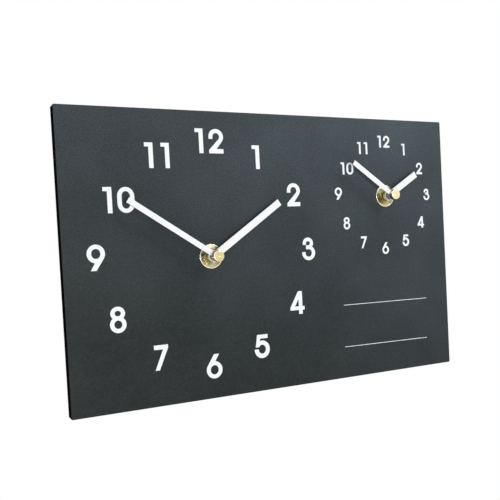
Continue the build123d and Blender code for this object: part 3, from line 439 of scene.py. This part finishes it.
# three pieces with painted light that their twins on the other dial lack: a painted shadow round the
# main minute hand's shaft, and paler lit copies of the brass, painted highlight, on the second washer
# and cap
dress("main_minute_hand", makeFinish("hand paint with painted shadow", handPaintWithShadow, shafts["main"]))
dress("second_brass_washer", makeFinish("washer brass with painted highlight", paintedHighlightWasher, shafts["second"]))
dress("second_hand_cap", makeFinish("cap brass with painted highlight", paintedHighlightCap, shafts["second"]))

inkMaterial = makeFinish("printed white", ink)
dress("hanger_plates", makeFinish("zinc plate", zinc))
screwMaterial = makeFinish("screw steel", screwSteel)
dress("hanger_screws", screwMaterial)
print("materials made")


# mesh helpers

sharpAngle = math.radians(30)
mergeDistance = 0.001 * mm


def addPiece(name, mesh, materials, body):
    for material in materials:
        mesh.materials.append(material)
    for face in mesh.polygons:
        face.use_smooth = True
    mesh.set_sharp_from_angle(angle=sharpAngle)
    piece = bpy.data.objects.new(name, mesh)
    bpy.context.scene.collection.objects.link(piece)
    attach(piece, body)
    return piece


def meshFrom(name, shape):
    mesh = bpy.data.meshes.new(name)
    shape.to_mesh(mesh)
    shape.free()
    return mesh


def evaluatedMesh(source):
    depsgraph = bpy.context.evaluated_depsgraph_get()
    return bpy.data.meshes.new_from_object(source.evaluated_get(depsgraph))


def spinRound(profile, centre, axis, steps, closed):
    # turns a chain of corners round an axis
    shape = bmesh.new()
    corners = [shape.verts.new(corner) for corner in profile]
    pairs = zip(corners, corners[1:] + corners[:1]) if closed else zip(corners, corners[1:])
    chain = corners + [shape.edges.new(pair) for pair in pairs]
    bmesh.ops.spin(shape, geom=chain, cent=centre, axis=axis, angle=2 * math.pi, steps=steps,
                   use_merge=True)
    bmesh.ops.remove_doubles(shape, verts=shape.verts, dist=mergeDistance)
    bmesh.ops.recalc_face_normals(shape, faces=shape.faces)
    return shape


# numbers: corners (x, z) and arcs (x, z, radiusX, radiusZ, start, end) in
# shares of the number's height, with the angles in degrees
digitShapes = {
    "0": [[(0.34, 0.64, 0.34, 0.36, 0, 180), (0.34, 0.36, 0.34, 0.36, 180, 360)],
          [(0.34, 0.64, 0.165, 0.20, 0, 180), (0.34, 0.36, 0.165, 0.20, 180, 360)]],
    "1": [[(0, 1), (0.347, 1), (0.347, 0), (0.165, 0), (0.165, 0.845), (0, 0.845)]],
    "2": [[(0, 0.59), (0.325, 0.68, 0.325, 0.32, 180, -38.7), (0.338, 0.18), (0.64, 0.18), (0.64, 0),
           (0, 0), (0, 0.14), (0.325, 0.68, 0.15, 0.155, -45.3, 180), (0.175, 0.59)]],
    "3": [[(0.047, 0.685), (0.31, 0.75, 0.262, 0.25, 180, -38.6), (0.33, 0.323, 0.33, 0.323, 57, -180),
           (0, 0.368), (0.165, 0.368), (0.33, 0.323, 0.16, 0.165, 180, 450), (0.204, 0.488),
           (0.204, 0.665), (0.31, 0.75, 0.10, 0.09, -90, 180), (0.21, 0.685)]],
    "4": [[(0, 0.18), (0.424, 0.18), (0.424, 0), (0.61, 0), (0.61, 0.18), (0.713, 0.18), (0.713, 0.34),
           (0.61, 0.34), (0.61, 1), (0.413, 1), (0, 0.305)],
          [(0.237, 0.342), (0.424, 0.342), (0.424, 0.665)]],
    "5": [[(0.056, 0.475), (0.144, 1), (0.647, 1), (0.637, 0.83), (0.282, 0.83), (0.262, 0.715),
           (0.36, 0.37, 0.36, 0.375, 106, -180), (0, 0.385), (0.19, 0.385),
           (0.36, 0.376, 0.168, 0.19, 180, 510.3), (0.206, 0.475)]],
    "6": [[(0.355, 1), (0.35, 0.355, 0.35, 0.355, 145.5, 441.3), (0.578, 1)],
          [(0.352, 0.355, 0.175, 0.19, 0, 360)]],
    "7": [[(0, 1), (0.585, 1), (0.585, 0.87), (0.197, 0), (0.017, 0), (0.37, 0.82), (0, 0.82)]],
    "8": [[(0.325, 0.754, 0.29, 0.264, -44.8, 224.8), (0.325, 0.32, 0.325, 0.32, 129.3, 410.7)],
          [(0.325, 0.754, 0.12, 0.105, 0, 360)], [(0.325, 0.323, 0.155, 0.16, 0, 360)]],
}
digitWidths = {"0": 0.68, "1": 0.347, "2": 0.65, "3": 0.66, "4": 0.713, "5": 0.72, "6": 0.70,
               "7": 0.585, "8": 0.65, "9": 0.70}
digitGaps = {"10": 0.21, "11": 0.33, "12": 0.25}
# height of the numbers and the middle of each, from the shaft, in millimetres
numberPlaces = {
    "main": (17.0, {
        12: (3.5, 80.0), 1: (39.1, 69.3), 2: (68.9, 42.1), 3: (79.5, 1.6), 4: (67.5, -37.9),
        5: (36.4, -66.9), 6: (-1.7, -76.8), 7: (-39.9, -66.2), 8: (-68.1, -38.3), 9: (-80.1, 3.1),
        10: (-62.9, 40.0), 11: (-35.1, 69.5)}),
    "second": (9.3, {
        12: (1.5, 42.9), 1: (20.6, 37.1), 2: (36.3, 22.0), 3: (42.7, 0.8), 4: (35.6, -21.6),
        5: (19.4, -35.9), 6: (-1.1, -41.3), 7: (-21.7, -35.8), 8: (-37.0, -20.7), 9: (-43.4, 2.3),
        10: (-34.4, 21.5), 11: (-19.2, 37.4)}),
}
printing = {
    "thickness": 0.06,
    "arcStep": 7.0,  # degrees
    "fewestSteps": 6,
    "ruleWidth": 0.40,
    "rules": (((53.3, -127.9), (134.4, -128.5)), ((52.8, -160.1), (133.5, -160.9))),
}


def outlinePoints(steps):
    points = []
    for step in steps:
        if len(step) == 2:
            points.append(step)
            continue
        x, z, radiusX, radiusZ, start, end = step
        count = max(printing["fewestSteps"], round(abs(end - start) / printing["arcStep"]))
        whole = abs(end - start) == 360
        for index in range(count if whole else count + 1):
            angle = math.radians(start + (end - start) * index / count)
            points.append((x + radiusX * math.cos(angle), z + radiusZ * math.sin(angle)))
    return points


def digitOutlines(digit):
    if digit == "9":  # a six turned half round
        width = digitWidths["9"]
        return [[(width - x, 1 - z) for x, z in outline] for outline in digitOutlines("6")]
    return [outlinePoints(steps) for steps in digitShapes[digit]]


def numberOutlines(number, height, centre):
    text = str(number)
    gap = digitGaps.get(text, 0)
    width = sum(digitWidths[digit] for digit in text) + gap * (len(text) - 1)
    left = centre[0] - width * height / 2
    outlines = []
    for digit in text:
        for outline in digitOutlines(digit):
            outlines.append([(left + x * height, centre[1] + (z - 0.5) * height) for x, z in outline])
        left += (digitWidths[digit] + gap) * height
    return outlines


def printOnFace(name, outlines):
    # fills flat outlines and lays them on the board's face as a skin of ink
    curve = bpy.data.curves.new(name, "CURVE")
    curve.dimensions = "2D"
    curve.fill_mode = "BOTH"
    curve.extrude = printing["thickness"] * mm / 2
    for outline in outlines:
        spline = curve.splines.new("POLY")
        spline.points.add(len(outline) - 1)
        for point, (x, z) in zip(spline.points, outline):
            point.co = (x * mm, z * mm, 0, 1)
        spline.use_cyclic_u = True
    flat = bpy.data.objects.new(name, curve)
    bpy.context.scene.collection.objects.link(flat)
    mesh = evaluatedMesh(flat)
    bpy.data.objects.remove(flat)
    upright = Matrix.Rotation(math.pi / 2, 4, "X")
    mesh.transform(Matrix.Translation((0, facePlane - printing["thickness"] * mm / 2, 0)) @ upright)
    mesh.materials.clear()
    addPiece(name, mesh, [inkMaterial], "clock")


for dial, (height, places) in numberPlaces.items():
    shaftX, shaftZ = shafts[dial].x / mm, shafts[dial].z / mm
    outlines = []
    for number, (x, z) in places.items():
        outlines += numberOutlines(number, height, (shaftX + x, shaftZ + z))
    printOnFace(f"{dial}_numbers", outlines)

ruleOutlines = []
for (startX, startZ), (endX, endZ) in printing["rules"]:
    half = printing["ruleWidth"] / 2
    ruleOutlines.append([(startX, startZ - half), (endX, endZ - half), (endX, endZ + half),
                         (startX, startZ + half)])
printOnFace("name_rules", ruleOutlines)
print("numbers and rules printed")

# thread on the end of the bush that stands out of the nut
thread = {
    "radius": 4.0,
    "rise": 0.09,  # the crests, above the bush's surface
    "sink": 0.05,  # the roots, below it
    "wall": 0.3,
    "pitch": 0.30,
    "crestFrom": 0.4,  # shares of the pitch
    "crestTo": 0.6,
    "chamfer": 0.45,
    "hiddenTurns": 2,  # the thread goes on inside the nut
    "steps": 72,
}
for dial in dialNames:
    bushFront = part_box(dial + "_bush")[0][1]
    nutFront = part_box(dial + "_fixing_nut")[0][1]
    radius, pitch = thread["radius"] * mm, thread["pitch"] * mm
    centre = (shafts[dial].x, 0, shafts[dial].z)
    start = bushFront + thread["chamfer"] * mm
    turns = int((nutFront - start) / pitch) + thread["hiddenTurns"]
    crest = centre[0] + (radius + thread["rise"] * mm)
    root = centre[0] + (radius - thread["sink"] * mm)
    inside = root - thread["wall"] * mm
    profile = [(root, start, centre[2])]
    for turn in range(turns):
        base = start + turn * pitch
        profile.append((crest, base + thread["crestFrom"] * pitch, centre[2]))
        profile.append((crest, base + thread["crestTo"] * pitch, centre[2]))
        profile.append((root, base + pitch, centre[2]))
    profile.append((inside, profile[-1][1], centre[2]))
    profile.append((inside, start, centre[2]))
    name = f"{dial}_bush_thread"
    shape = spinRound(profile, centre, (0, 1, 0), thread["steps"], closed=True)
    addPiece(name, meshFrom(name, shape), [turned[dial, "brass"]], "clock")
print("threads cut")

# rolled collar that holds each hour hand's collet from in front
collar = {"radius": 3.75, "bore": 2.62, "thickness": 0.22, "rounding": 0.07, "steps": 72}
for dial in dialNames:
    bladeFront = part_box(dial + "_hour_hand")[0][1] / mm
    front, inner, outer = bladeFront - collar["thickness"], collar["bore"], collar["radius"]
    soft = collar["rounding"]
    corners = [(inner, bladeFront), (outer, bladeFront), (outer, front + soft), (outer - soft, front),
               (inner + soft, front), (inner, front + soft)]
    centre = (shafts[dial].x, 0, shafts[dial].z)
    profile = [(centre[0] + radius * mm, along * mm, centre[2]) for radius, along in corners]
    name = f"{dial}_hour_collar"
    shape = spinRound(profile, centre, (0, 1, 0), collar["steps"], closed=True)
    addPiece(name, meshFrom(name, shape), [turned[dial, "aluminium"]], f"{dial}_hour")
print("hour collars rolled")

# hanger screws with a cross recess in each head
recess = {
    "headRadius": 2.8,
    "apart": 32.0,  # between the two screws of a plate
    "length": 2.6,
    "width": 0.55,
    "depth": 0.9,
    "turns": (12, 67, 35, 81),  # how far each cross is turned, in degrees
    "merge": 0.0005,
}
low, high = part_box("hanger_screws")
outer = high[0] / mm - recess["headRadius"]
headPlaces = (-outer, recess["apart"] - outer, outer - recess["apart"], outer)
cutter = bmesh.new()
for across, angle in zip(headPlaces, recess["turns"]):
    for extra in (0, 90):  # the two arms of the cross
        place = Matrix.Translation((across * mm, high[1], (low[2] + high[2]) / 2))
        turn = Matrix.Rotation(math.radians(angle + extra), 4, "Y")
        lengths = (recess["length"] * mm, 2 * recess["depth"] * mm, recess["width"] * mm, 1)
        bmesh.ops.create_cube(cutter, size=1.0, matrix=place @ turn @ Matrix.Diagonal(lengths))
cutterObject = bpy.data.objects.new("recessCutter", meshFrom("recessCutter", cutter))
bpy.context.scene.collection.objects.link(cutterObject)
shape = bmesh.new()
shape.from_mesh(nodes["hanger_screws"].data)
bmesh.ops.remove_doubles(shape, verts=shape.verts, dist=recess["merge"] * mm)
screwMesh = meshFrom("recessed_hanger_screws", shape)
screws = addPiece("recessed_hanger_screws", screwMesh, [screwMaterial], "clock")
cut = screws.modifiers.new("recess", "BOOLEAN")
cut.object = cutterObject
cut.operation = "DIFFERENCE"
cut.solver = "EXACT"
cut.use_self = True
cutMesh = evaluatedMesh(screws)
screws.modifiers.clear()
screws.data = cutMesh
cutMesh.set_sharp_from_angle(angle=sharpAngle)
bpy.data.objects.remove(cutterObject)
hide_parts("hanger_screws")
print("screw heads recessed:", len(cutMesh.polygons), "faces")

# battery: steel nub and ends, a plain shrunk jacket with a band at the nub's end
batteryJacket = dict(dark=(0.020, 0.024, 0.032), light=(0.030, 0.036, 0.048), patch=16, spread=0.5,
                     rough=(0.22, 0.30), grain=1.2, depth=0.01, coat=0.4)
batteryBand = dict(dark=(0.40, 0.41, 0.42), light=(0.50, 0.51, 0.52), patch=12, spread=0.5,
                   rough=(0.24, 0.32), grain=1.2, depth=0.01, coat=0.4)
batterySteel = dict(dark=(0.52, 0.52, 0.53), light=(0.68, 0.68, 0.69), patch=4, spread=0.6,
                    rough=(0.20, 0.30), grain=0.3, depth=0.006, metal=1.0)
batteryMaterials = [
    makeFinish("battery jacket", batteryJacket),
    makeFinish("battery band", batteryBand),
    makeFinish("battery steel", batterySteel),
]
battery = {
    "band": 8.5,
    "bareRadius": 6.3,  # the steel ends show inside this
    "steps": 72,
    # distance from the nub's tip and radius, in millimetres
    "positive": ((0, 0), (0, 2.3), (0.12, 2.6), (0.4, 2.7), (1.25, 2.75), (1.35, 3.2), (1.35, 5.0),
                 (1.22, 5.3), (1.22, 6.2), (1.3, 6.6), (1.55, 6.95), (1.95, 7.1)),
    # distance from the flat end and radius
    "negative": ((0.75, 7.1), (0.35, 6.95), (0.12, 6.65), (0.05, 6.2), (0.05, 5.7), (0.3, 5.4),
                 (0.3, 4.9), (0, 4.5), (0, 0)),
}
for dial in dialNames:
    low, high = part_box(dial + "_battery")
    middle = middleOf(dial + "_battery")
    bandEdge = high[0] - battery["band"] * mm
    profile = []
    for along, radius in battery["positive"]:
        profile.append((high[0] - along * mm, middle.y, middle.z + radius * mm))
    profile.append((bandEdge, middle.y, high[2]))
    for along, radius in battery["negative"]:
        profile.append((low[0] + along * mm, middle.y, middle.z + radius * mm))
    shape = spinRound(profile, middle, (1, 0, 0), battery["steps"], closed=False)
    for face in shape.faces:
        along = face.calc_center_median().x
        reach = (face.calc_center_median() - Vector((along, middle.y, middle.z))).length
        isEnd = reach < battery["bareRadius"] * mm
        face.material_index = 2 if isEnd else (1 if along > bandEdge else 0)
    name = f"{dial}_jacketed_battery"
    piece = addPiece(name, meshFrom(name, shape), batteryMaterials, "clock")
    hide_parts(dial + "_battery")
print("batteries turned")

# floor, world, lamps and camera, in metres
studio = {
    "floorDrop": 0.62,
    "floorSize": 5.0,
    "floorSteps": 96,
    "whiteFrom": 0.35,
    "whiteTo": 0.85,
    "floorColour": (0.86, 0.86, 0.86, 1),
    "worldLight": 0.23,
    "plainWhite": (1, 1, 1, 1),
}


def rayShare(tree, kinds):
    # one for rays of these kinds, nought for the others
    rays = addNode(tree, "ShaderNodeLightPath").outputs
    share = rays[kinds[0]]
    for kind in kinds[1:]:
        share = calculate(tree, "MAXIMUM", share, rays[kind])
    return share


floorMaterial = bpy.data.materials.new("pale floor")
floorMaterial.use_nodes = True
tree = floorMaterial.node_tree
tree.nodes.clear()
coordinates = addNode(tree, "ShaderNodeTexCoord").outputs["Object"]
distance = vectorMath(tree, "LENGTH", coordinates)["Value"]
fade = fitRange(tree, distance, studio["whiteFrom"], studio["whiteTo"])
plainRay = rayShare(tree, ("Is Camera Ray", "Is Glossy Ray"))
matt = addNode(tree, "ShaderNodeBsdfDiffuse", None, {"Color": studio["floorColour"]})
white = addNode(tree, "ShaderNodeEmission", None, {"Color": studio["plainWhite"], "Strength": 1.0})
mixed = addNode(tree, "ShaderNodeMixShader", None, {
    0: calculate(tree, "MULTIPLY", fade, plainRay), 1: matt.outputs[0], 2: white.outputs[0]})
addNode(tree, "ShaderNodeOutputMaterial", None, {"Surface": mixed.outputs[0]})
shape = bmesh.new()
bmesh.ops.create_circle(shape, cap_ends=True, segments=studio["floorSteps"], radius=studio["floorSize"],
                        matrix=Matrix.Translation((0, 0, -studio["floorDrop"])))
floorMesh = meshFrom("floor", shape)
floorMesh.materials.append(floorMaterial)
floor = bpy.data.objects.new("floor", floorMesh)
bpy.context.scene.collection.objects.link(floor)

world = bpy.data.worlds.new("studio")
bpy.context.scene.world = world
world.use_nodes = True
tree = world.node_tree
tree.nodes.clear()
plainRay = rayShare(tree, ("Is Camera Ray", "Is Glossy Ray", "Is Transmission Ray"))
lightSky = addNode(tree, "ShaderNodeBackground", None, {
    "Color": studio["plainWhite"], "Strength": studio["worldLight"]})
whiteSky = addNode(tree, "ShaderNodeBackground", None, {"Color": studio["plainWhite"], "Strength": 1.0})
sky = addNode(tree, "ShaderNodeMixShader", None, {
    0: plainRay, 1: lightSky.outputs[0], 2: whiteSky.outputs[0]})
addNode(tree, "ShaderNodeOutputWorld", None, {"Surface": sky.outputs[0]})

# lamps: place, size across, power in watts and colour
lamps = {
    "keySoftbox": ((0.66, -0.86, 0.72), 0.50, 7.2, (0.82, 0.93, 1.0)),
    "frontSoftbox": ((-0.36, -1.90, -0.30), 0.28, 17.5, (1.0, 1.0, 1.0)),
    "leftSoftbox": ((-0.8, -1.1, 1.0), 0.8, 0.8, (1.0, 0.96, 0.92)),
    "backSoftbox": ((-0.7, 1.5, 0.8), 1.2, 16.0, (1.0, 1.0, 1.0)),
}
target = middleOf("face_board")
for name, (place, across, power, colour) in lamps.items():
    lamp = bpy.data.lights.new(name, "AREA")
    lamp.shape = "DISK"
    lamp.size = across
    lamp.energy = power
    lamp.color = colour
    lampObject = bpy.data.objects.new(name, lamp)
    lampObject.location = place
    lampObject.rotation_euler = (target - Vector(place)).to_track_quat("-Z", "Y").to_euler()
    bpy.context.scene.collection.objects.link(lampObject)

# camera: its place, which ways its right and its top point, its lens in millimetres
view = {
    "place": (-0.24024, -0.44350, -0.08247),
    "right": (0.89459, -0.44384, -0.05216),
    "up": (0.06104, 0.00574, 0.99812),
    "lens": 48.75,
    "shift": 0.0456,
    "sensor": 36,
    "nearest": 0.01,
}
camera = bpy.data.cameras.new("camera")
camera.sensor_width = view["sensor"]
camera.lens = view["lens"]
camera.shift_y = view["shift"]
camera.clip_start = view["nearest"]
right = Vector(view["right"]).normalized()
up = Vector(view["up"])
up = (up - up.dot(right) * right).normalized()
cameraObject = bpy.data.objects.new("camera", camera)
turn = Matrix((right, up, right.cross(up))).transposed().to_4x4()
cameraObject.matrix_world = Matrix.Translation(view["place"]) @ turn
bpy.context.scene.collection.objects.link(cameraObject)
bpy.context.scene.camera = cameraObject
bpy.context.scene.view_settings.view_transform = "Standard"
print("studio set")
